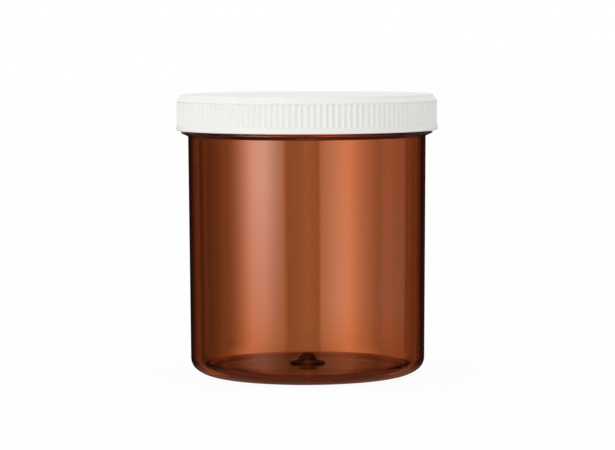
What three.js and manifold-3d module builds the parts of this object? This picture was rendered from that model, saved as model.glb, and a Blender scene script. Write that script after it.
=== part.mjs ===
// Wide-mouth dispensing jar: a clear amber moulded jar, its white ribbed screw cap and the cap's foam wad.
// Millimetres, +Z up. The origin is at the centre of the base, in the plane that the jar stands on.

import * as THREE from 'three';
import { mergeVertices, toCreasedNormals } from 'three/addons/utils/BufferGeometryUtils.js';
import Module from 'manifold-3d';

const wasm = await Module();
wasm.setup();

// Jar body
const JAR_HEIGHT = 97;
const BODY_TOP_RADIUS = 42.25;
const BODY_DRAFT = 0.57;
const BODY_WALL = 1.6;
const HEEL_BEVEL_REACH = 4.95;
const HEEL_BEVEL_HEIGHT = 3.25;
const HEEL_LOWER_FILLET = 10;
const HEEL_UPPER_FILLET = 5;

// Jar floor, pushed up inside a foot ring
const FLOOR_THICKNESS = 1.5;
const BASE_RISE = 2.05;
const FLOOR_BEVEL_REACH = 0.9;
const FLOOR_BEVEL_HEIGHT = 1.5;
const FLOOR_BEVEL_FILLET = 1.5;
const FLOOR_CORNER_FILLET = 0.5;
const FOOT_RING_WIDTH = 6.5;
const FOOT_RING_SLOPE = 2.5;
const FOOT_RING_FILLET = 0.6;

// Gate boss in the middle of the floor, where the plastic entered the mould: a dome on a low disc, with a well
// under it that keeps the stub of the gate clear of the table
const GATE_DOME_RISE = 3.95;
const GATE_DISC_RADIUS = 6.3;
const GATE_DISC_HEIGHT = 0.7;
const GATE_DISC_DRAFT = 0.15;
const GATE_DOME_RADIUS = 3.3;
const GATE_DOME_FOOT_HEIGHT = 1.45;
const GATE_CROWN_RADIUS = 1.9;
const GATE_CROWN_FILLET = 3.5;
const GATE_WELL_RADIUS = 1.6;
const GATE_WELL_DEPTH = 0.8;
const GATE_WELL_DRAFT = 0.2;
const GATE_STUB_RADIUS = 0.6;
const GATE_STUB_LENGTH = 0.4;

// Jar neck and the flange that the cap's skirt ends above
const NECK_HEIGHT = 10.6;
const NECK_STEP = 0.95;
const NECK_WALL = 2;
const NECK_SHOULDER = 1.2;
const FLANGE_REACH = 1.5;
const FLANGE_EDGE = 0.6;
const FLANGE_SLOPE = 1.1;
const FLANGE_FILLET = 0.25;
const RIM_FILLET = 0.5;

// Screw thread: one right-hand start, five turns to 25.4 mm
const THREAD_PITCH = 5.08;
const THREAD_DEPTH = 1.2;
const THREAD_ROOT_WIDTH = 2.4;
const THREAD_CREST_WIDTH = 1;
const THREAD_DROP = 2.3;
const THREAD_FLANGE_GAP = 0.75;
const THREAD_SINK = 0.5;
const THREAD_END_SHARE = 0.2;
const THREAD_FADE_SHARE = 0.07;

// Screw cap
const CAP_TOP_THICKNESS = 1.5;
const CAP_SKIRT_WALL = 0.95;
const CAP_SHOULDER_FILLET = 2.5;
const CAP_SHOULDER_HEIGHT = 2.6;
const CAP_INNER_FILLET = 0.4;
const CAP_LEAD_IN = 0.5;
const RIB_COUNT = 136;
const RIB_DEPTH = 0.45;
const RIB_WIDTH_SHARE = 0.62;
const RIB_SINK = 0.3;
const BEAD_HEIGHT = 2.25;
const BEAD_REACH = 0.3;
const BEAD_TAPER = 0.12;
const BEAD_FILLET = 0.45;

// Foam wad that lines the cap and seals on the rim
const WAD_THICKNESS = 1.2;
const WAD_EDGE_CHAMFER = 0.15;

// Fits between the pieces
const SKIRT_FLANGE_GAP = 0.4;
const THREAD_RADIAL_CLEARANCE = 0.4;
const THREAD_FLANK_CLEARANCE = 0.3;
const WAD_EDGE_CLEARANCE = 0.5;

// Fineness of the facets
const FACET_LENGTH = 1.9;
const FEWEST_ARC_STEPS = 2;
const JAR_SEGMENTS = 60;
const CAP_SEGMENTS = RIB_COUNT / 2;
const THREAD_STEPS_PER_TURN = 44;
const RIB_STEPS = 4;
const CREASE_ANGLE = Math.PI / 6;

const FULL_TURN = 2 * Math.PI;

// Levels of the jar, from the base plane up
const floorTop = BASE_RISE + FLOOR_THICKNESS;
const flangeTop = JAR_HEIGHT - NECK_HEIGHT;
const flangeUnderEdge = flangeTop - FLANGE_EDGE;
const flangeRoot = flangeUnderEdge - FLANGE_SLOPE;

// Radii of the jar, outside and inside
const bodyFootRadius = BODY_TOP_RADIUS - BODY_DRAFT;
const neckRadius = BODY_TOP_RADIUS + NECK_STEP;
const neckBore = neckRadius - NECK_WALL;
const flangeRadius = neckRadius + FLANGE_REACH;
const innerTopRadius = BODY_TOP_RADIUS - BODY_WALL;
const innerFootRadius = bodyFootRadius - BODY_WALL;
const floorRadius = innerFootRadius - FLOOR_BEVEL_REACH;
const heelBevelRadius = bodyFootRadius - HEEL_BEVEL_REACH;
const footInnerRadius = heelBevelRadius - FOOT_RING_WIDTH;
const jarThreadRadius = neckRadius + THREAD_DEPTH;

// Levels and radii of the cap and its wad, taken from the neck that they close
const wadBottom = JAR_HEIGHT;
const wadTop = wadBottom + WAD_THICKNESS;
const capTop = wadTop + CAP_TOP_THICKNESS;
const skirtBottom = flangeTop + SKIRT_FLANGE_GAP;
const capBore = jarThreadRadius + THREAD_RADIAL_CLEARANCE;
const capThreadRadius = capBore - THREAD_DEPTH;
const ribRootRadius = capBore + CAP_SKIRT_WALL;
const ribCrestRadius = ribRootRadius + RIB_DEPTH;
const beadRadius = ribCrestRadius + BEAD_REACH;
const beadTop = skirtBottom + BEAD_HEIGHT;
const ribTop = capTop - CAP_SHOULDER_HEIGHT - RIB_DEPTH;
const wadRadius = capBore - WAD_EDGE_CLEARANCE;

// The jar's thread runs from above the flange to below the rim
const jarThreadBottom = flangeTop + THREAD_FLANGE_GAP + THREAD_ROOT_WIDTH / 2;
const jarThreadTop = JAR_HEIGHT - THREAD_DROP;

// The cap's thread lies under the jar's, one flank clearance away, and ends inside the skirt
const flankSlope = (THREAD_ROOT_WIDTH - THREAD_CREST_WIDTH) / 2 / THREAD_DEPTH;
const flankStack = (THREAD_ROOT_WIDTH + THREAD_CREST_WIDTH) / 2 - flankSlope * THREAD_RADIAL_CLEARANCE;
const threadOffset = flankStack + THREAD_FLANK_CLEARANCE * Math.hypot(1, flankSlope);
const capThreadBottom = skirtBottom + CAP_LEAD_IN + THREAD_ROOT_WIDTH / 2;
const capThreadTop = jarThreadTop - threadOffset;
const jarHelixStart = jarThreadBottom;
const capHelixStart = jarHelixStart - threadOffset;

// A corner of a turned outline: its distance from the axis, its height and the fillet that rounds it
function corner(radius, height, fillet = 0) {
  return { place: new THREE.Vector2(radius, height), fillet };
}

// The points of one rounded corner, along the arc that touches both of its sides
function filletPoints(before, here, after) {
  const toBefore = before.place.clone().sub(here.place);
  const toAfter = after.place.clone().sub(here.place);
  const longestReach = Math.min(toBefore.length(), toAfter.length());
  toBefore.normalize();
  toAfter.normalize();
  const halfAngle = Math.acos(THREE.MathUtils.clamp(toBefore.dot(toAfter), -1, 1)) / 2;
  const reach = Math.min(here.fillet / Math.tan(halfAngle), longestReach);
  const radius = reach * Math.tan(halfAngle);
  const middle = toBefore.clone().add(toAfter).normalize();
  const centre = here.place.clone().addScaledVector(middle, radius / Math.sin(halfAngle));
  const start = here.place.clone().addScaledVector(toBefore, reach).sub(centre);
  const sweep = Math.PI - 2 * halfAngle;
  const turn = Math.sign(toAfter.cross(toBefore)) * sweep;
  const steps = Math.max(FEWEST_ARC_STEPS, Math.ceil((radius * sweep) / FACET_LENGTH));
  const points = [];
  for (let step = 0; step <= steps; step += 1) {
    const angle = (turn * step) / steps;
    points.push(start.clone().rotateAround(new THREE.Vector2(), angle).add(centre));
  }
  return points;
}

// A turned solid: the rounded outline goes out along the underside, up the outside and back in over the top
function turnedGeometry(corners, segments) {
  const outline = corners.flatMap((here, index) =>
    here.fillet > 0 ? filletPoints(corners[index - 1], here, corners[index + 1]) : [here.place]
  );
  return new THREE.LatheGeometry(outline, segments).rotateX(Math.PI / 2);
}

// A closed geometry as a solid that can be joined and cut
function toSolid(geometry) {
  const bare = geometry.clone();
  bare.deleteAttribute('normal');
  bare.deleteAttribute('uv');
  const merged = mergeVertices(bare);
  const corners = merged.index.array;
  const triangles = [];
  for (let first = 0; first < corners.length; first += 3) {
    const [a, b, c] = corners.slice(first, first + 3);
    if (a !== b && b !== c && c !== a) triangles.push(a, b, c);
  }
  return new wasm.Manifold(new wasm.Mesh({
    numProp: 3,
    vertProperties: merged.attributes.position.array,
    triVerts: Uint32Array.from(triangles),
  }));
}

// A joined or cut solid as a geometry, with smooth normals on its rounds and sharp ones on its edges
function toGeometry(solid) {
  const { vertProperties, triVerts } = solid.getMesh();
  const geometry = new THREE.BufferGeometry();
  geometry.setAttribute('position', new THREE.BufferAttribute(vertProperties, 3));
  geometry.setIndex(new THREE.BufferAttribute(triVerts, 1));
  return toCreasedNormals(geometry, CREASE_ANGLE);
}

// A ridge wound from one level up to another on the helix that crosses +X at helixStart. It grows from a wall
// at rootRadius to crestRadius, is sunk a little into that wall, and fades in and out over a share of a turn.
function threadRidge(rootRadius, crestRadius, helixStart, bottom, top) {
  const outward = Math.sign(crestRadius - rootRadius);
  const buriedRadius = rootRadius - outward * THREAD_SINK;
  const buriedHalfWidth = THREAD_ROOT_WIDTH / 2 + flankSlope * THREAD_SINK;
  const turns = (top - bottom) / THREAD_PITCH;
  const steps = Math.ceil(turns * THREAD_STEPS_PER_TURN);
  const positions = [];
  for (let step = 0; step <= steps; step += 1) {
    const turned = (turns * step) / steps;
    const fromEnd = Math.min(turned, turns - turned) / THREAD_FADE_SHARE;
    const growth = Math.max(THREAD_END_SHARE, Math.min(fromEnd, 1));
    const radius = THREE.MathUtils.lerp(buriedRadius, crestRadius, growth);
    const halfWidth = THREE.MathUtils.lerp(buriedHalfWidth, THREAD_CREST_WIDTH / 2, growth);
    const level = bottom + turned * THREAD_PITCH;
    const angle = ((level - helixStart) / THREAD_PITCH) * FULL_TURN;
    const section = [
      [buriedRadius, level - buriedHalfWidth],
      [radius, level - halfWidth],
      [radius, level + halfWidth],
      [buriedRadius, level + buriedHalfWidth],
    ];
    for (const [distance, height] of section) {
      positions.push(distance * Math.cos(angle), distance * Math.sin(angle), height);
    }
  }
  return ridgeSkin(positions, steps, outward);
}

// The closed skin over a row of four-cornered sections, facing out on either side of its wall
function ridgeSkin(positions, steps, outward) {
  const sides = 4;
  const faces = [[0, 3, 2], [0, 2, 1]];
  const last = steps * sides;
  faces.push([last, last + 1, last + 2], [last, last + 2, last + 3]);
  for (let step = 0; step < steps; step += 1) {
    for (let side = 0; side < sides; side += 1) {
      const near = step * sides + side;
      const nearNext = step * sides + ((side + 1) % sides);
      const far = near + sides;
      const farNext = nearNext + sides;
      faces.push([near, nearNext, farNext], [near, farNext, far]);
    }
  }
  const geometry = new THREE.BufferGeometry();
  geometry.setAttribute('position', new THREE.Float32BufferAttribute(positions, 3));
  geometry.setIndex(faces.flatMap((face) => (outward > 0 ? [...face].reverse() : face)));
  return geometry;
}

// The amber jar: body, heel, foot ring, pushed-up floor with its gate well, flange, neck and thread
function jarBody() {
  const gateWellTop = BASE_RISE + GATE_WELL_DEPTH;
  const gateDomeTop = floorTop + GATE_DOME_RISE;
  const stubTip = gateWellTop - GATE_STUB_LENGTH;
  const shell = turnedGeometry([
    corner(0, stubTip),
    corner(GATE_STUB_RADIUS, stubTip),
    corner(GATE_STUB_RADIUS, gateWellTop),
    corner(GATE_WELL_RADIUS - GATE_WELL_DRAFT, gateWellTop),
    corner(GATE_WELL_RADIUS, BASE_RISE),
    corner(footInnerRadius - FOOT_RING_SLOPE, BASE_RISE, FOOT_RING_FILLET),
    corner(footInnerRadius, 0, FOOT_RING_FILLET / 2),
    corner(heelBevelRadius, 0, HEEL_LOWER_FILLET),
    corner(bodyFootRadius, HEEL_BEVEL_HEIGHT, HEEL_UPPER_FILLET),
    corner(BODY_TOP_RADIUS, flangeRoot),
    corner(flangeRadius, flangeUnderEdge, FLANGE_FILLET),
    corner(flangeRadius, flangeTop, FLANGE_FILLET),
    corner(neckRadius, flangeTop),
    corner(neckRadius, JAR_HEIGHT, RIM_FILLET),
    corner(neckBore, JAR_HEIGHT, RIM_FILLET),
    corner(neckBore, flangeTop, NECK_SHOULDER),
    corner(innerTopRadius, flangeTop - NECK_SHOULDER, NECK_SHOULDER),
    corner(innerFootRadius, floorTop + FLOOR_BEVEL_HEIGHT, FLOOR_BEVEL_FILLET),
    corner(floorRadius, floorTop, FLOOR_CORNER_FILLET),
    corner(GATE_DISC_RADIUS, floorTop),
    corner(GATE_DISC_RADIUS - GATE_DISC_DRAFT, floorTop + GATE_DISC_HEIGHT),
    corner(GATE_DOME_RADIUS, floorTop + GATE_DOME_FOOT_HEIGHT),
    corner(GATE_CROWN_RADIUS, gateDomeTop, GATE_CROWN_FILLET),
    corner(0, gateDomeTop),
  ], JAR_SEGMENTS);
  const ridge = threadRidge(neckRadius, jarThreadRadius, jarHelixStart, jarThreadBottom, jarThreadTop);
  return toGeometry(toSolid(shell).add(toSolid(ridge)));
}

// The ribbed band round the cap's skirt: half-round grip ribs, side by side, as one extruded outline
function ribBand() {
  const ribPitch = FULL_TURN / RIB_COUNT;
  const halfRib = (ribPitch * RIB_WIDTH_SHARE) / 2;
  const points = [];
  for (let rib = 0; rib < RIB_COUNT; rib += 1) {
    for (let step = 0; step <= RIB_STEPS; step += 1) {
      const round = (Math.PI * step) / RIB_STEPS;
      const angle = rib * ribPitch - halfRib * Math.cos(round);
      const radius = ribRootRadius + RIB_DEPTH * Math.sin(round);
      points.push(new THREE.Vector2(radius, 0).rotateAround(new THREE.Vector2(), angle));
    }
  }
  const outline = new THREE.Shape(points);
  const midWall = (capBore + ribRootRadius) / 2;
  outline.holes.push(new THREE.Path().absarc(0, 0, midWall, 0, FULL_TURN, true));
  const depth = ribTop + RIB_DEPTH / 2 - (beadTop - RIB_SINK);
  const options = { depth, bevelEnabled: false, curveSegments: CAP_SEGMENTS };
  return new THREE.ExtrudeGeometry(outline, options).translate(0, 0, beadTop - RIB_SINK);
}

// The white cap: flat top, round shoulder, ribbed skirt, bead at its foot and the thread inside
function screwCap() {
  const shell = turnedGeometry([
    corner(0, wadTop),
    corner(capBore, wadTop, CAP_INNER_FILLET),
    corner(capBore, skirtBottom + CAP_LEAD_IN),
    corner(capBore + CAP_LEAD_IN, skirtBottom),
    corner(beadRadius, skirtBottom, BEAD_FILLET),
    corner(beadRadius - BEAD_TAPER, beadTop, BEAD_FILLET / 2),
    corner(ribRootRadius, beadTop),
    corner(ribRootRadius, ribTop),
    corner(ribCrestRadius, ribTop + RIB_DEPTH),
    corner(ribCrestRadius, capTop, CAP_SHOULDER_FILLET),
    corner(0, capTop),
  ], CAP_SEGMENTS);
  const ridge = threadRidge(capBore, capThreadRadius, capHelixStart, capThreadBottom, capThreadTop);
  return toGeometry(toSolid(shell).add(toSolid(ribBand())).add(toSolid(ridge)));
}

// The wad: a flat foam disc with its edges just broken
function foamWad() {
  return turnedGeometry([
    corner(0, wadBottom),
    corner(wadRadius - WAD_EDGE_CHAMFER, wadBottom),
    corner(wadRadius, wadBottom + WAD_EDGE_CHAMFER),
    corner(wadRadius, wadTop - WAD_EDGE_CHAMFER),
    corner(wadRadius - WAD_EDGE_CHAMFER, wadTop),
    corner(0, wadTop),
  ], JAR_SEGMENTS);
}

// Clear amber polystyrene, white polypropylene and off-white expanded polyethylene
const amber = new THREE.MeshStandardMaterial({
  color: 0x92401b, roughness: 0.08, metalness: 0, transparent: true, opacity: 0.72,
});
const white = new THREE.MeshStandardMaterial({ color: 0xf0efea, roughness: 0.38, metalness: 0 });
const foam = new THREE.MeshStandardMaterial({ color: 0xe9e6dc, roughness: 0.9, metalness: 0 });

function piece(name, geometry, material) {
  const mesh = new THREE.Mesh(geometry, material);
  mesh.name = name;
  return mesh;
}

const dispensingJar = new THREE.Group();
dispensingJar.add(
  piece('jar_body', jarBody(), amber),
  piece('cap_liner', foamWad(), foam),
  piece('screw_cap', screwCap(), white)
);

export default dispensingJar;
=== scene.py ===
"""A wide-mouth dispensing jar in clear amber plastic with a white ribbed screw cap, on a pale floor.

Lengths are metres, in the part's own frame: +Z up, the origin at the centre of the jar's base.
"""

import math

import bpy
import numpy as np
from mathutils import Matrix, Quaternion, Vector


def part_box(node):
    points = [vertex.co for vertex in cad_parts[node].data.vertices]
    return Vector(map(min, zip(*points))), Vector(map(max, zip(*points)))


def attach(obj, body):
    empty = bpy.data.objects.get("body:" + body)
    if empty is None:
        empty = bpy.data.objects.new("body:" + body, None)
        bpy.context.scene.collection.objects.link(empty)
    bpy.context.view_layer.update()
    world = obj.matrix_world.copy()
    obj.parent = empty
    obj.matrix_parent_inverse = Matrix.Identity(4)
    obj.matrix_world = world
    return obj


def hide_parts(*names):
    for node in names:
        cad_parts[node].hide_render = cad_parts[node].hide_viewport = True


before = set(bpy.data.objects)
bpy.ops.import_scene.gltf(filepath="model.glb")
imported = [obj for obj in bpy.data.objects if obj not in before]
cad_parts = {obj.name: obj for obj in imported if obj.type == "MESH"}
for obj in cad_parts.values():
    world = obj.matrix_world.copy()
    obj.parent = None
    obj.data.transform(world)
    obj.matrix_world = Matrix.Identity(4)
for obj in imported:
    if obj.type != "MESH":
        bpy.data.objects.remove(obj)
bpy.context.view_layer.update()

MM = 0.001
FULL_TURN = 2 * math.pi

# How much higher the skirt ends than in the solids
SKIRT_LIFT = 0.2 * MM

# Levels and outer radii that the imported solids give
jar_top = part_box("jar_body")[1].z
flange_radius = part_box("jar_body")[1].x
wad_bottom, wad_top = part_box("cap_liner")[0].z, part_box("cap_liner")[1].z
wad_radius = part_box("cap_liner")[1].x
skirt_bottom, cap_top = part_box("screw_cap")[0].z + SKIRT_LIFT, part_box("screw_cap")[1].z

# Jar body
BODY_TOP_RADIUS = 42.25 * MM
BODY_DRAFT = 0.57 * MM
BODY_WALL = 1.6 * MM
HEEL_BEVEL_REACH = 4.95 * MM
HEEL_BEVEL_HEIGHT = 3.25 * MM
HEEL_LOWER_FILLET = 10 * MM
HEEL_UPPER_FILLET = 5 * MM

# Jar floor, foot ring and gate well
FLOOR_THICKNESS = 1.5 * MM
BASE_RISE = 2.05 * MM
FLOOR_EDGE_FILLET = 0.8 * MM
TROUGH_REACH = 3 * MM
TROUGH_RISE = 4.6 * MM
TROUGH_UPPER_FILLET = 4 * MM
TROUGH_BOTTOM = 1.5 * MM
TROUGH_WIDTH = 1 * MM
TROUGH_FILLET = 0.8 * MM
FOOT_RING_WIDTH = 3.2 * MM
FOOT_RING_SLOPE = 0.8 * MM
FOOT_RING_FILLET = 0.6 * MM
GATE_DOME_RISE = 3.95 * MM
GATE_DISC_RADIUS = 6.3 * MM
GATE_DISC_HEIGHT = 0.7 * MM
GATE_DISC_DRAFT = 0.15 * MM
GATE_DISC_FILLET = 0.3 * MM
GATE_DOME_RADIUS = 3.3 * MM
GATE_DOME_FOOT_HEIGHT = 1.45 * MM
GATE_DOME_FOOT_FILLET = 0.5 * MM
GATE_CROWN_RADIUS = 1.9 * MM
GATE_CROWN_FILLET = 3.5 * MM
GATE_WELL_RADIUS = 1.6 * MM
GATE_WELL_DEPTH = 0.8 * MM
GATE_WELL_DRAFT = 0.2 * MM
GATE_WELL_FILLET = 0.2 * MM
GATE_STUB_RADIUS = 0.6 * MM
GATE_STUB_LENGTH = 0.4 * MM

# Jar neck and flange
NECK_HEIGHT = 10.4 * MM
NECK_WALL = 2 * MM
NECK_SHOULDER = 1.2 * MM
FLANGE_REACH = 1.5 * MM
FLANGE_EDGE = 0.6 * MM
FLANGE_SLOPE = 1.1 * MM
FLANGE_FILLET = 0.25 * MM
RIM_FILLET = 0.5 * MM

# Thread, shared by the neck and the cap
THREAD_PITCH = 5.08 * MM
THREAD_DEPTH = 1.2 * MM
THREAD_ROOT_WIDTH = 2.4 * MM
THREAD_CREST_WIDTH = 1 * MM
THREAD_DROP = 2.3 * MM
THREAD_FLANGE_GAP = 0.75 * MM
THREAD_FADE_SHARE = 0.07
THREAD_RADIAL_CLEARANCE = 0.4 * MM
THREAD_FLANK_CLEARANCE = 0.3 * MM

# Screw cap
CAP_SKIRT_WALL = 0.95 * MM
CAP_SHOULDER_FALL = 2.05 * MM
CAP_SHOULDER_FILLET = 0.8 * MM
CAP_LEDGE_REACH = 1.2 * MM
CAP_LEDGE_FALL = 0.75 * MM
CAP_LEDGE_FILLET = 0.3 * MM
CAP_DISC_DRAFT = 0.15 * MM
CAP_DISC_FILLET = 0.35 * MM
CAP_PLAIN_BAND = 2.7 * MM
CAP_INNER_FILLET = 0.4 * MM
CAP_LEAD_IN = 0.5 * MM
RIB_COUNT = 136
RIB_DEPTH = 0.45 * MM
RIB_WIDTH_SHARE = 0.62
RIB_END_RISE = 0.2 * MM
BEAD_HEIGHT = 2.05 * MM
BEAD_REACH = 0.3 * MM
BEAD_TAPER = 0.12 * MM
BEAD_FILLET = 0.45 * MM
BEAD_TOP_FILLET = 0.2 * MM

# Foam wad
WAD_EDGE_FILLET = 0.2 * MM

# Fineness of the turned meshes
ARC_STEP = math.radians(6)
HOLD = 0.12 * MM
TINY_FILLET = 0.1 * MM
RELIEF_STEP = 0.22 * MM
JAR_COLUMNS = 384
CAP_COLUMNS_PER_RIB = 10
WAD_COLUMNS = 192

# Radii and levels worked out from the values above
floor_top = BASE_RISE + FLOOR_THICKNESS
flange_top = jar_top - NECK_HEIGHT
flange_under_edge = flange_top - FLANGE_EDGE
flange_root = flange_under_edge - FLANGE_SLOPE
body_foot_radius = BODY_TOP_RADIUS - BODY_DRAFT
neck_radius = flange_radius - FLANGE_REACH
neck_bore = neck_radius - NECK_WALL
cap_bore = neck_radius + THREAD_DEPTH + THREAD_RADIAL_CLEARANCE
rib_root_radius = cap_bore + CAP_SKIRT_WALL
rib_crest_radius = rib_root_radius + RIB_DEPTH
bead_radius = rib_crest_radius + BEAD_REACH
bead_top = skirt_bottom + BEAD_HEIGHT
rib_top = cap_top - CAP_PLAIN_BAND
flank_slope = (THREAD_ROOT_WIDTH - THREAD_CREST_WIDTH) / 2 / THREAD_DEPTH
flank_stack = (THREAD_ROOT_WIDTH + THREAD_CREST_WIDTH) / 2 - flank_slope * THREAD_RADIAL_CLEARANCE
thread_offset = flank_stack + THREAD_FLANK_CLEARANCE * math.hypot(1, flank_slope)
jar_thread_bottom = flange_top + THREAD_FLANGE_GAP + THREAD_ROOT_WIDTH / 2
jar_thread_top = jar_top - THREAD_DROP
cap_thread_bottom = skirt_bottom + CAP_LEAD_IN + THREAD_ROOT_WIDTH / 2
cap_thread_top = jar_thread_top - thread_offset


# Turned meshes

def corner(radius, height, fillet=TINY_FILLET, relief=None):
    """A corner of a turned outline. A relief shapes the straight stretch that follows the corner."""
    return {"place": np.array([radius, height]), "fillet": fillet, "relief": relief}


def fillet_points(before, here, after):
    """Points along the arc that rounds a corner, from the side before it to the side after it."""
    to_before = before["place"] - here["place"]
    to_after = after["place"] - here["place"]
    longest_reach = min(np.linalg.norm(to_before), np.linalg.norm(to_after))
    to_before = to_before / np.linalg.norm(to_before)
    to_after = to_after / np.linalg.norm(to_after)
    half_angle = math.acos(np.clip(to_before @ to_after, -1, 1)) / 2
    if half_angle > math.pi / 2 - ARC_STEP / 4:
        return [here["place"]]
    reach = min(here["fillet"] / math.tan(half_angle), longest_reach)
    radius = reach * math.tan(half_angle)
    middle = (to_before + to_after) / np.linalg.norm(to_before + to_after)
    centre = here["place"] + middle * radius / math.sin(half_angle)
    start = here["place"] + to_before * reach - centre
    side = np.sign(to_after[0] * to_before[1] - to_after[1] * to_before[0])
    sweep = side * (math.pi - 2 * half_angle)
    steps = max(2, math.ceil(abs(sweep) / ARC_STEP))
    points = []
    for step in range(steps + 1):
        cosine, sine = math.cos(sweep * step / steps), math.sin(sweep * step / steps)
        turned = [start[0] * cosine - start[1] * sine, start[0] * sine + start[1] * cosine]
        points.append(centre + np.array(turned))
    return points


def outline_rows(corners):
    """The outline as rows of (radius, height, relief). Every corner is rounded. A straight stretch has rows
    for its relief, or else a row near each end that holds it flat."""
    arcs = [[corners[0]["place"]]]
    for index in range(1, len(corners) - 1):
        arcs.append(fillet_points(corners[index - 1], corners[index], corners[index + 1]))
    arcs.append([corners[-1]["place"]])
    rows = []
    for index, arc in enumerate(arcs):
        rows += [(point[0], point[1], None) for point in arc]
        if index == len(arcs) - 1:
            break
        start, end = arc[-1], arcs[index + 1][0]
        length = np.linalg.norm(end - start)
        relief = corners[index]["relief"]
        if relief:
            shares = np.linspace(0, 1, math.ceil(length / RELIEF_STEP) + 1)[1:-1]
        elif length > 4 * HOLD:
            shares = [HOLD / length, 1 - HOLD / length]
        else:
            shares = []
        for share in shares:
            point = start + (end - start) * share
            rows.append((point[0], point[1], relief))
    return rows


def turned_mesh(name, corners, columns):
    """A closed turned mesh. Its outline goes out along the underside, up outside and back over the top."""
    rows = outline_rows(corners)
    angles = np.arange(columns) * FULL_TURN / columns
    vertices, rings = [], []
    for radius, height, relief in rows:
        if radius < TINY_FILLET / 10:
            rings.append([len(vertices)] * columns)
            vertices.append((0.0, 0.0, height))
            continue
        distances = radius + (relief(angles, height) if relief else np.zeros(columns))
        rings.append(list(range(len(vertices), len(vertices) + columns)))
        heights = np.full(columns, height)
        vertices += zip(distances * np.cos(angles), distances * np.sin(angles), heights)
    faces = []
    for lower, upper in zip(rings, rings[1:]):
        for column in range(columns):
            following = (column + 1) % columns
            face = [lower[column], lower[following], upper[following], upper[column]]
            faces.append(list(dict.fromkeys(face)))
    mesh = bpy.data.meshes.new(name)
    mesh.from_pydata(vertices, [], faces)
    mesh.shade_smooth()
    piece = bpy.data.objects.new(name, mesh)
    bpy.context.scene.collection.objects.link(piece)
    return piece


# Reliefs on turned meshes

def smooth_ramp(share):
    """0 up to 0, 1 from 1 on, and smooth in between."""
    share = np.clip(share, 0, 1)
    return share * share * (3 - 2 * share)


def thread_relief(bottom, top, helix_start, outward):
    """A relief for a turned mesh: the height of a helical ridge over its wall. Outward is 1 on the outside
    and -1 in a bore."""
    turns = (top - bottom) / THREAD_PITCH

    def relief(angles, height):
        raised = np.zeros(len(angles))
        for turn in range(-1, math.ceil(turns) + 2):
            level = helix_start + THREAD_PITCH * (angles / FULL_TURN + turn)
            along = (level - bottom) / THREAD_PITCH
            growth = smooth_ramp(np.minimum(along, turns - along) / THREAD_FADE_SHARE)
            inside_root = THREAD_ROOT_WIDTH / 2 - abs(height - level)
            flank = inside_root / (THREAD_ROOT_WIDTH - THREAD_CREST_WIDTH) * 2
            raised = np.maximum(raised, THREAD_DEPTH * growth * smooth_ramp(flank))
        return outward * raised
    return relief


def rib_relief(angles, height):
    """The relief of the skirt: grooves between half-round grip ribs, sunk from their crests to their root.
    They end under the shoulder."""
    pitch = FULL_TURN / RIB_COUNT
    across = (np.mod(angles / pitch + 0.5, 1) - 0.5) * 2 / RIB_WIDTH_SHARE
    rounded = np.sqrt(np.clip(1 - across * across, 0, 1))
    under_shoulder = smooth_ramp((height - rib_top) / RIB_END_RISE)
    return RIB_DEPTH * (np.maximum(rounded, under_shoulder) - 1)


# Pieces

def make_jar():
    """The jar, from the gate's stub out under the base, up outside, and down the bore to the floor."""
    gate_well_top = BASE_RISE + GATE_WELL_DEPTH
    gate_dome_top = floor_top + GATE_DOME_RISE
    stub_tip = gate_well_top - GATE_STUB_LENGTH
    heel_bevel_radius = body_foot_radius - HEEL_BEVEL_REACH
    foot_inner_radius = heel_bevel_radius - FOOT_RING_WIDTH
    inner_foot_radius = body_foot_radius - BODY_WALL
    trough_radius = inner_foot_radius - TROUGH_REACH
    neck_thread = thread_relief(jar_thread_bottom, jar_thread_top, jar_thread_bottom, 1)
    return turned_mesh("amber_jar", [
        corner(0, stub_tip),
        corner(GATE_STUB_RADIUS, stub_tip, GATE_STUB_RADIUS / 3),
        corner(GATE_STUB_RADIUS, gate_well_top),
        corner(GATE_WELL_RADIUS - GATE_WELL_DRAFT, gate_well_top, GATE_WELL_FILLET),
        corner(GATE_WELL_RADIUS, BASE_RISE, GATE_WELL_FILLET),
        corner(foot_inner_radius - FOOT_RING_SLOPE, BASE_RISE, FOOT_RING_FILLET),
        corner(foot_inner_radius, 0, FOOT_RING_FILLET / 2),
        corner(heel_bevel_radius, 0, HEEL_LOWER_FILLET),
        corner(body_foot_radius, HEEL_BEVEL_HEIGHT, HEEL_UPPER_FILLET),
        corner(BODY_TOP_RADIUS, flange_root, FLANGE_FILLET),
        corner(flange_radius, flange_under_edge, FLANGE_FILLET),
        corner(flange_radius, flange_top, FLANGE_FILLET),
        corner(neck_radius, flange_top, FLANGE_FILLET, neck_thread),
        corner(neck_radius, jar_top, RIM_FILLET),
        corner(neck_bore, jar_top, RIM_FILLET),
        corner(neck_bore, flange_top, NECK_SHOULDER),
        corner(BODY_TOP_RADIUS - BODY_WALL, flange_top - NECK_SHOULDER, NECK_SHOULDER),
        corner(inner_foot_radius, TROUGH_RISE, TROUGH_UPPER_FILLET),
        corner(trough_radius, TROUGH_BOTTOM, TROUGH_FILLET),
        corner(trough_radius - TROUGH_WIDTH, floor_top, FLOOR_EDGE_FILLET),
        corner(GATE_DISC_RADIUS, floor_top, GATE_DISC_FILLET),
        corner(GATE_DISC_RADIUS - GATE_DISC_DRAFT, floor_top + GATE_DISC_HEIGHT, GATE_DISC_FILLET),
        corner(GATE_DOME_RADIUS, floor_top + GATE_DOME_FOOT_HEIGHT, GATE_DOME_FOOT_FILLET),
        corner(GATE_CROWN_RADIUS, gate_dome_top, GATE_CROWN_FILLET),
        corner(0, gate_dome_top),
    ], JAR_COLUMNS)


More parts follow.
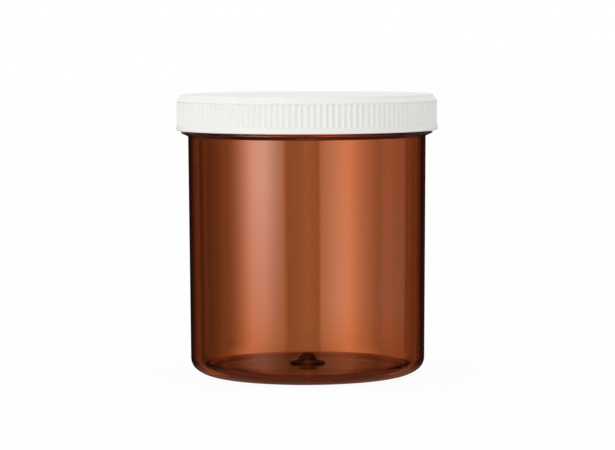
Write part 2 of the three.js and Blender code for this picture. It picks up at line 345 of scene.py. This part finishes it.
def make_cap():
    """The cap, from its ceiling down the threaded bore, then up the ribbed skirt and in over the top."""
    helix_start = jar_thread_bottom - thread_offset
    cap_thread = thread_relief(cap_thread_bottom, cap_thread_top, helix_start, -1)
    return turned_mesh("white_cap", [
        corner(0, wad_top),
        corner(cap_bore, wad_top, CAP_INNER_FILLET, cap_thread),
        corner(cap_bore, skirt_bottom + CAP_LEAD_IN),
        corner(cap_bore + CAP_LEAD_IN, skirt_bottom),
        corner(bead_radius, skirt_bottom, BEAD_FILLET),
        corner(bead_radius - BEAD_TAPER, bead_top, BEAD_TOP_FILLET),
        corner(rib_crest_radius, bead_top, TINY_FILLET, rib_relief),
        corner(rib_crest_radius, cap_top - CAP_SHOULDER_FALL, CAP_SHOULDER_FILLET),
        corner(rib_crest_radius - CAP_LEDGE_REACH, cap_top - CAP_LEDGE_FALL, CAP_LEDGE_FILLET),
        corner(rib_crest_radius - CAP_LEDGE_REACH - CAP_DISC_DRAFT, cap_top, CAP_DISC_FILLET),
        corner(0, cap_top),
    ], RIB_COUNT * CAP_COLUMNS_PER_RIB)


def make_wad():
    """The wad, a plain disc with both edges rounded."""
    return turned_mesh("foam_wad", [
        corner(0, wad_bottom),
        corner(wad_radius, wad_bottom, WAD_EDGE_FILLET),
        corner(wad_radius, wad_top, WAD_EDGE_FILLET),
        corner(0, wad_top),
    ], WAD_COLUMNS)


jar = make_jar()
cap = make_cap()
wad = make_wad()


# Materials

AMBER_IOR = 1.59
AMBER_DENSITY = 936.0
AMBER_SURVIVING = (0.824, 0.386, 0.0, 1)
AMBER_RIPPLE = {"scale": 55, "detail": 1, "strength": 0.25, "distance": 0.012 * MM, "stretch": (1, 1, 0.12)}
WHITE_COLOUR = (0.9, 0.89, 0.855, 1)
WHITE_ROUGHNESS = 0.4
WHITE_IOR = 1.49
WHITE_GRAIN = {"scale": 2600, "detail": 3, "strength": 0.25, "distance": 0.02 * MM}
FOAM_COLOUR = (0.82, 0.8, 0.74, 1)
FOAM_ROUGHNESS = 0.9
FOAM_PITS = {"scale": 1800, "detail": 4, "strength": 0.6, "distance": 0.15 * MM}


def node_material(name):
    """An empty node material and its output."""
    material = bpy.data.materials.new(name)
    material.use_nodes = True
    tree = material.node_tree
    tree.nodes.clear()
    return material, tree, tree.nodes.new("ShaderNodeOutputMaterial")


def texture_bump(tree, scale, detail, strength, distance, stretch=(1, 1, 1)):
    """The normal of a bump made by noise in the object's own space."""
    place = tree.nodes.new("ShaderNodeTexCoord")
    mapping = tree.nodes.new("ShaderNodeMapping")
    mapping.inputs["Scale"].default_value = stretch
    noise = tree.nodes.new("ShaderNodeTexNoise")
    noise.inputs["Scale"].default_value = scale
    noise.inputs["Detail"].default_value = detail
    bump = tree.nodes.new("ShaderNodeBump")
    bump.inputs["Strength"].default_value = strength
    bump.inputs["Distance"].default_value = distance
    tree.links.new(place.outputs["Object"], mapping.inputs["Vector"])
    tree.links.new(mapping.outputs["Vector"], noise.inputs["Vector"])
    tree.links.new(noise.outputs["Fac"], bump.inputs["Height"])
    return bump.outputs["Normal"]


def amber_material():
    """Clear polystyrene, faintly rippled, that absorbs blue and green along the light's path in the wall."""
    material, tree, output = node_material("amber_polystyrene")
    shell = tree.nodes.new("ShaderNodeBsdfPrincipled")
    shell.inputs["Base Color"].default_value = (1, 1, 1, 1)
    shell.inputs["Transmission Weight"].default_value = 1
    shell.inputs["Roughness"].default_value = 0
    shell.inputs["IOR"].default_value = AMBER_IOR
    tree.links.new(texture_bump(tree, **AMBER_RIPPLE), shell.inputs["Normal"])
    inside = tree.nodes.new("ShaderNodeVolumeAbsorption")
    inside.inputs["Color"].default_value = AMBER_SURVIVING
    inside.inputs["Density"].default_value = AMBER_DENSITY
    tree.links.new(shell.outputs["BSDF"], output.inputs["Surface"])
    tree.links.new(inside.outputs["Volume"], output.inputs["Volume"])
    return material


def white_material():
    """Satin white polypropylene with a fine grain."""
    material, tree, output = node_material("white_polypropylene")
    shell = tree.nodes.new("ShaderNodeBsdfPrincipled")
    shell.inputs["Base Color"].default_value = WHITE_COLOUR
    shell.inputs["Roughness"].default_value = WHITE_ROUGHNESS
    shell.inputs["IOR"].default_value = WHITE_IOR
    tree.links.new(texture_bump(tree, **WHITE_GRAIN), shell.inputs["Normal"])
    tree.links.new(shell.outputs["BSDF"], output.inputs["Surface"])
    return material


def foam_material():
    """Closed-cell foam, matt and finely pitted."""
    material, tree, output = node_material("white_foam")
    shell = tree.nodes.new("ShaderNodeBsdfPrincipled")
    shell.inputs["Base Color"].default_value = FOAM_COLOUR
    shell.inputs["Roughness"].default_value = FOAM_ROUGHNESS
    tree.links.new(texture_bump(tree, **FOAM_PITS), shell.inputs["Normal"])
    tree.links.new(shell.outputs["BSDF"], output.inputs["Surface"])
    return material


# Studio

def math_node(tree, operation, *values):
    """A Math node whose inputs are each a socket or a number."""
    node = tree.nodes.new("ShaderNodeMath")
    node.operation = operation
    for index, value in enumerate(values):
        if isinstance(value, (int, float)):
            node.inputs[index].default_value = value
        else:
            tree.links.new(value, node.inputs[index])
    return node.outputs[0]


# Places of a Mix node's colour sockets, which share their names with its other sockets
MIX_COLOUR_A, MIX_COLOUR_B, MIX_COLOUR_RESULT = 6, 7, 2


def light_path_mix(tree, choices, otherwise):
    """One colour socket that depends on the kind of ray. The last of the (kind, colour) choices that apply is
    taken."""
    path = tree.nodes.new("ShaderNodeLightPath")
    chosen = otherwise
    for kind, colour in choices:
        mix = tree.nodes.new("ShaderNodeMix")
        mix.data_type = "RGBA"
        tree.links.new(path.outputs[kind], mix.inputs["Factor"])
        tree.links.new(chosen, mix.inputs[MIX_COLOUR_A])
        tree.links.new(colour, mix.inputs[MIX_COLOUR_B])
        chosen = mix.outputs[MIX_COLOUR_RESULT]
    return chosen


def grey(tree, level):
    """A colour socket of one grey level."""
    node = tree.nodes.new("ShaderNodeRGB")
    node.outputs[0].default_value = (level, level, level, 1)
    return node.outputs[0]


def level_ramp(tree, share, stops):
    """Levels, none over 1, that follow a share from 0 to 1 through (share, level) stops. A level is one grey
    number, or red, green and blue."""
    ramp = tree.nodes.new("ShaderNodeValToRGB")
    elements = ramp.color_ramp.elements
    while len(elements) < len(stops):
        elements.new(0.5)
    for element, (place, level) in zip(elements, stops):
        element.position = place
        element.color = (*level, 1) if isinstance(level, tuple) else (level, level, level, 1)
    tree.links.new(share, ramp.inputs["Fac"])
    return ramp.outputs["Color"]


# The surround that shows through the amber: a wide glow and light strips, in degrees from the middle of each
# of its periods round the jar. Its ramp is finest there.
SURROUND_PERIOD_DEG = 45
SURROUND_FOCUS_DEG = 2
SURROUND_ENDS_DEG = (-SURROUND_PERIOD_DEG / 2, SURROUND_PERIOD_DEG / 2)
SURROUND_LEVEL = 1.2
GLOW_LEVEL = 0.46
GLOW_CENTRE_DEG = 1
GLOW_LEFT_SPREAD_DEG = 6.1
GLOW_RIGHT_SPREAD_DEG = 8.9
GLOW_STOPS = 17
LEFT_STRIP = {"edge": -0.78, "peak": -2.2, "end": -3.65, "level": 0.56, "step": 0.25}
RIGHT_STRIP = {"edge": 0.46, "peak": 1.4, "end": 3.1, "level": 0.54, "step": 0.3}
SIDE_STRIP = {"edge": 2.8, "peak": 5.9, "end": 6.7, "level": 0.15, "step": 0}
LIGHT_STRIPS = [LEFT_STRIP, RIGHT_STRIP, SIDE_STRIP]
STRIP_EDGE_SHARE = 0.04

# Stops of (the ray's Z, level): what the surround is multiplied by, and what surfaces mirror. Those of the
# light on matt surfaces are (the ray's X, level).
RAISED_STOPS = [(-1, 1), (0, 1), (0.03, 0.5), (1, 0.5)]
AMBIENT_STOPS = [(-1, 0.9), (0, 0.94), (0.5, 0.9), (1, 0.66)]
# What surfaces mirror from below is tinted brown: a painted reflection that stands in for light passing out
# through the jar's heel.
PAINTED_AMBER_REFLECTION = (0.43, 0.16, 0.1)
MIRRORED_STOPS = [
    (-1, PAINTED_AMBER_REFLECTION), (-0.5, PAINTED_AMBER_REFLECTION), (-0.22, 0.012), (-0.01, 0.004), (0.02, 0.9), (1, 0.9),
]


def from_signed(stops):
    """Stops that go from -1 to 1, moved to go from 0 to 1."""
    return [(0.5 + place / 2, level) for place, level in stops]


def focused_share(degrees):
    """Where an angle of the surround lies on its ramp, from 0 to 1."""
    return 0.5 + math.atan(degrees / SURROUND_FOCUS_DEG) / math.pi


def strip_level(degrees, edge, peak, end, level, step):
    """The level of a light strip, which steps up at its edge, grows to its peak and fades out at its end."""
    along = (degrees - edge) / (peak - edge)
    reach = (end - edge) / (peak - edge)
    return level * np.interp(along, [-STRIP_EDGE_SHARE, 0, 1, reach], [0, step, 1, 0])


def surround_stops():
    """The surround's ramp: its glow and strips at even places, and at the strips' own corners."""
    places = [SURROUND_FOCUS_DEG * math.tan(math.pi * (share - 0.5))
              for share in np.linspace(*map(focused_share, SURROUND_ENDS_DEG), GLOW_STOPS)]
    for strip in LIGHT_STRIPS:
        before_edge = strip["edge"] - STRIP_EDGE_SHARE * (strip["peak"] - strip["edge"])
        places += [before_edge, strip["edge"], strip["peak"], strip["end"]]
    stops = []
    for degrees in sorted(places):
        spread = GLOW_LEFT_SPREAD_DEG if degrees < GLOW_CENTRE_DEG else GLOW_RIGHT_SPREAD_DEG
        level = GLOW_LEVEL / (1 + ((degrees - GLOW_CENTRE_DEG) / spread) ** 2)
        level += sum(strip_level(degrees, **strip) for strip in LIGHT_STRIPS)
        stops.append((focused_share(degrees), level))
    return stops


def make_world():
    """The surround: white to the camera, banded behind the amber, darker where it is mirrored, brown where it
    is mirrored from below as a painted reflection, and plain for matt surfaces."""
    world = bpy.data.worlds.new("studio")
    bpy.context.scene.world = world
    world.use_nodes = True
    world.cycles.sampling_method = "NONE"
    tree = world.node_tree
    background = tree.nodes["Background"]
    place = tree.nodes.new("ShaderNodeTexCoord")
    split = tree.nodes.new("ShaderNodeSeparateXYZ")
    tree.links.new(place.outputs["Generated"], split.inputs[0])
    azimuth = math_node(tree, "ARCTAN2", split.outputs["X"], split.outputs["Y"])
    turns = math_node(tree, "MULTIPLY", azimuth, 1 / math.radians(SURROUND_PERIOD_DEG))
    wrapped = math_node(tree, "FRACT", math_node(tree, "ADD", turns, 0.5))
    wrapped = math_node(tree, "SUBTRACT", wrapped, 0.5)
    spread = math_node(tree, "MULTIPLY", wrapped, SURROUND_PERIOD_DEG / SURROUND_FOCUS_DEG)
    focused = math_node(tree, "ARCTANGENT", spread)
    share = math_node(tree, "ADD", math_node(tree, "MULTIPLY", focused, 1 / math.pi), 0.5)
    height = math_node(tree, "MULTIPLY_ADD", split.outputs["Z"], 0.5, 0.5)
    raised = level_ramp(tree, height, from_signed(RAISED_STOPS))
    surround = math_node(tree, "MULTIPLY", level_ramp(tree, share, surround_stops()), SURROUND_LEVEL)
    surround = math_node(tree, "MULTIPLY", surround, raised)
    mirrored = level_ramp(tree, height, from_signed(MIRRORED_STOPS))
    side = math_node(tree, "MULTIPLY_ADD", split.outputs["X"], 0.5, 0.5)
    ambient = level_ramp(tree, side, from_signed(AMBIENT_STOPS))
    colour = light_path_mix(tree, [
        ("Is Glossy Ray", mirrored),
        ("Is Transmission Ray", surround),
        ("Is Camera Ray", grey(tree, 1.0)),
    ], ambient)
    tree.links.new(colour, background.inputs["Color"])


FLOOR_RADIUS = 6.0
FLOOR_DROP = 0.0001
FLOOR_GLOW_SHARE = 0.95
FLOOR_REFLECTANCE = 0.9
SHADED_RADIUS = 0.0333
SHADED_LIFT = 0.00005
# The shaded round's glow is painted light: it stands in for light that falls through the amber onto the floor
# under the jar.
SHADED_FLOOR_PAINTED_LIGHT = 0.12
DISC_VERTICES = 128


def make_disc(name, radius, height):
    """A flat disc of the floor, with its material's output not linked yet."""
    bpy.ops.mesh.primitive_circle_add(
        vertices=DISC_VERTICES, radius=radius, fill_type="TRIFAN", location=(0, 0, height))
    disc = bpy.context.object
    disc.name = name
    material, tree, output = node_material(name)
    diffuse = tree.nodes.new("ShaderNodeBsdfDiffuse")
    diffuse.inputs["Color"].default_value = (*[FLOOR_REFLECTANCE] * 3, 1)
    disc.data.materials.append(material)
    return disc, tree, diffuse, output


def make_floor():
    """The pale floor, and the shaded round of it under the jar that shows through the jar's base, with a glow
    of painted light.
    """
    floor, tree, diffuse, output = make_disc("floor", FLOOR_RADIUS, -FLOOR_DROP)
    glow = tree.nodes.new("ShaderNodeEmission")
    path = tree.nodes.new("ShaderNodeLightPath")
    mix = tree.nodes.new("ShaderNodeMixShader")
    glow_share = math_node(tree, "MULTIPLY", path.outputs["Is Camera Ray"], FLOOR_GLOW_SHARE)
    tree.links.new(glow_share, mix.inputs["Fac"])
    tree.links.new(diffuse.outputs["BSDF"], mix.inputs[1])
    tree.links.new(glow.outputs["Emission"], mix.inputs[2])
    tree.links.new(mix.outputs["Shader"], output.inputs["Surface"])
    floor.visible_transmission = False
    floor.visible_glossy = False
    shaded, tree, diffuse, output = make_disc("shaded_floor", SHADED_RADIUS, SHADED_LIFT - FLOOR_DROP)
    # Painted light: a glow that stands in for light falling through the amber onto the floor under the jar.
    glow = tree.nodes.new("ShaderNodeEmission")
    glow.inputs["Strength"].default_value = SHADED_FLOOR_PAINTED_LIGHT
    both = tree.nodes.new("ShaderNodeAddShader")
    tree.links.new(diffuse.outputs["BSDF"], both.inputs[0])
    tree.links.new(glow.outputs["Emission"], both.inputs[1])
    tree.links.new(both.outputs["Shader"], output.inputs["Surface"])
    shaded.visible_camera = False
    shaded.visible_glossy = False
    shaded.visible_diffuse = False
    shaded.visible_shadow = False


SOFTBOX_DISTANCE = 1.2
SOFTBOX_BOTTOM, SOFTBOX_TOP = -0.5, 0.7
SOFTBOX_STEPS = 60
CARD_SPREAD_DEG = 18
CARD_STOPS = 16
LEFT_CARD = {
    "start": -80, "end": -22, "brightest": -44, "rest": 0, "level": 3.1,
    "rise": [(-0.2, 0.05), (-0.136, 0.14), (-0.105, 0.44), (-0.005, 1)],
}
RIGHT_CARD = {
    "start": 12.5, "end": 109, "brightest": 30, "rest": 0.24, "level": 1.0,
    "rise": [(-0.2, 0.05), (-0.136, 0.14), (-0.105, 0.92), (0.03, 0.62)],
}


def spanned(stops):
    """Stops moved and scaled to go from 0 to 1."""
    start, end = stops[0][0], stops[-1][0]
    return [((place - start) / (end - start), level) for place, level in stops]


def make_softbox(name, start, end, brightest, rest, level, rise):
    """A curved lit card round the jar, from start to end in degrees, with 0 at the camera's side, -Y, and
    more towards +X. It fades from its brightest angle to the rest. The rise is (height, share) stops."""
    stops = [(degrees, rest + (1 - rest) * math.exp(-((degrees - brightest) / CARD_SPREAD_DEG) ** 2))
             for degrees in np.linspace(start, end, CARD_STOPS)]
    vertices, faces = [], []
    for step in range(SOFTBOX_STEPS + 1):
        angle = math.radians(start + (end - start) * step / SOFTBOX_STEPS)
        x, y = SOFTBOX_DISTANCE * math.sin(angle), -SOFTBOX_DISTANCE * math.cos(angle)
        vertices += [(x, y, SOFTBOX_BOTTOM), (x, y, SOFTBOX_TOP)]
    for step in range(SOFTBOX_STEPS):
        first = 2 * step
        faces.append((first, first + 2, first + 3, first + 1))
    mesh = bpy.data.meshes.new(name)
    mesh.from_pydata(vertices, [], faces)
    card = bpy.data.objects.new(name, mesh)
    bpy.context.scene.collection.objects.link(card)
    material, tree, output = node_material(name)
    place = tree.nodes.new("ShaderNodeTexCoord")
    split = tree.nodes.new("ShaderNodeSeparateXYZ")
    tree.links.new(place.outputs["Object"], split.inputs[0])
    towards_camera = math_node(tree, "MULTIPLY", split.outputs["Y"], -1)
    angle = math_node(tree, "ARCTAN2", split.outputs["X"], towards_camera)
    from_start = math_node(tree, "SUBTRACT", angle, math.radians(start))
    share = math_node(tree, "DIVIDE", from_start, math.radians(end - start))
    glow = tree.nodes.new("ShaderNodeEmission")
    tree.links.new(level_ramp(tree, share, spanned(stops)), glow.inputs["Color"])
    bottom, top = rise[0][0], rise[-1][0]
    from_bottom = math_node(tree, "SUBTRACT", split.outputs["Z"], bottom)
    height = math_node(tree, "DIVIDE", from_bottom, top - bottom)
    risen = level_ramp(tree, height, spanned(rise))
    tree.links.new(math_node(tree, "MULTIPLY", risen, level), glow.inputs["Strength"])
    tree.links.new(glow.outputs["Emission"], output.inputs["Surface"])
    mesh.materials.append(material)
    card.visible_camera = False
    card.visible_transmission = False
    card.visible_shadow = False
    return card


CAMERA_DISTANCE = 0.950
CAMERA_HEIGHT = 0.12042
CAMERA_AIM = Vector((0.000107, 0, 0.05299))
CAMERA_ROLL = math.radians(0.21)
CAMERA_LENS_MM = 156.26
CAMERA_SENSOR_MM = 36
CAMERA_CLIP_START = 0.01


def make_camera():
    """The photo's camera, fitted to the jar's outline."""
    camera = bpy.data.objects.new("camera", bpy.data.cameras.new("camera"))
    camera.data.lens = CAMERA_LENS_MM
    camera.data.sensor_width = CAMERA_SENSOR_MM
    camera.data.clip_start = CAMERA_CLIP_START
    camera.location = (0, -CAMERA_DISTANCE, CAMERA_HEIGHT)
    view = (CAMERA_AIM - camera.location).to_track_quat("-Z", "Y")
    camera.rotation_euler = (view @ Quaternion((0, 0, 1), -CAMERA_ROLL)).to_euler()
    bpy.context.scene.collection.objects.link(camera)
    bpy.context.scene.camera = camera


def dress(piece, material, body, node):
    """Gives a piece its material and its body, and hides the solid that it takes the place of."""
    piece.data.materials.append(material)
    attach(piece, body)
    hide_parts(node)


dress(jar, amber_material(), "jar", "jar_body")
dress(cap, white_material(), "cap", "screw_cap")
dress(wad, foam_material(), "liner", "cap_liner")

make_world()
make_floor()
make_softbox("left_softbox", **LEFT_CARD)
right_softbox = make_softbox("right_softbox", **RIGHT_CARD)
right_softbox.visible_diffuse = False
make_camera()

bpy.context.scene.view_settings.view_transform = "Standard"
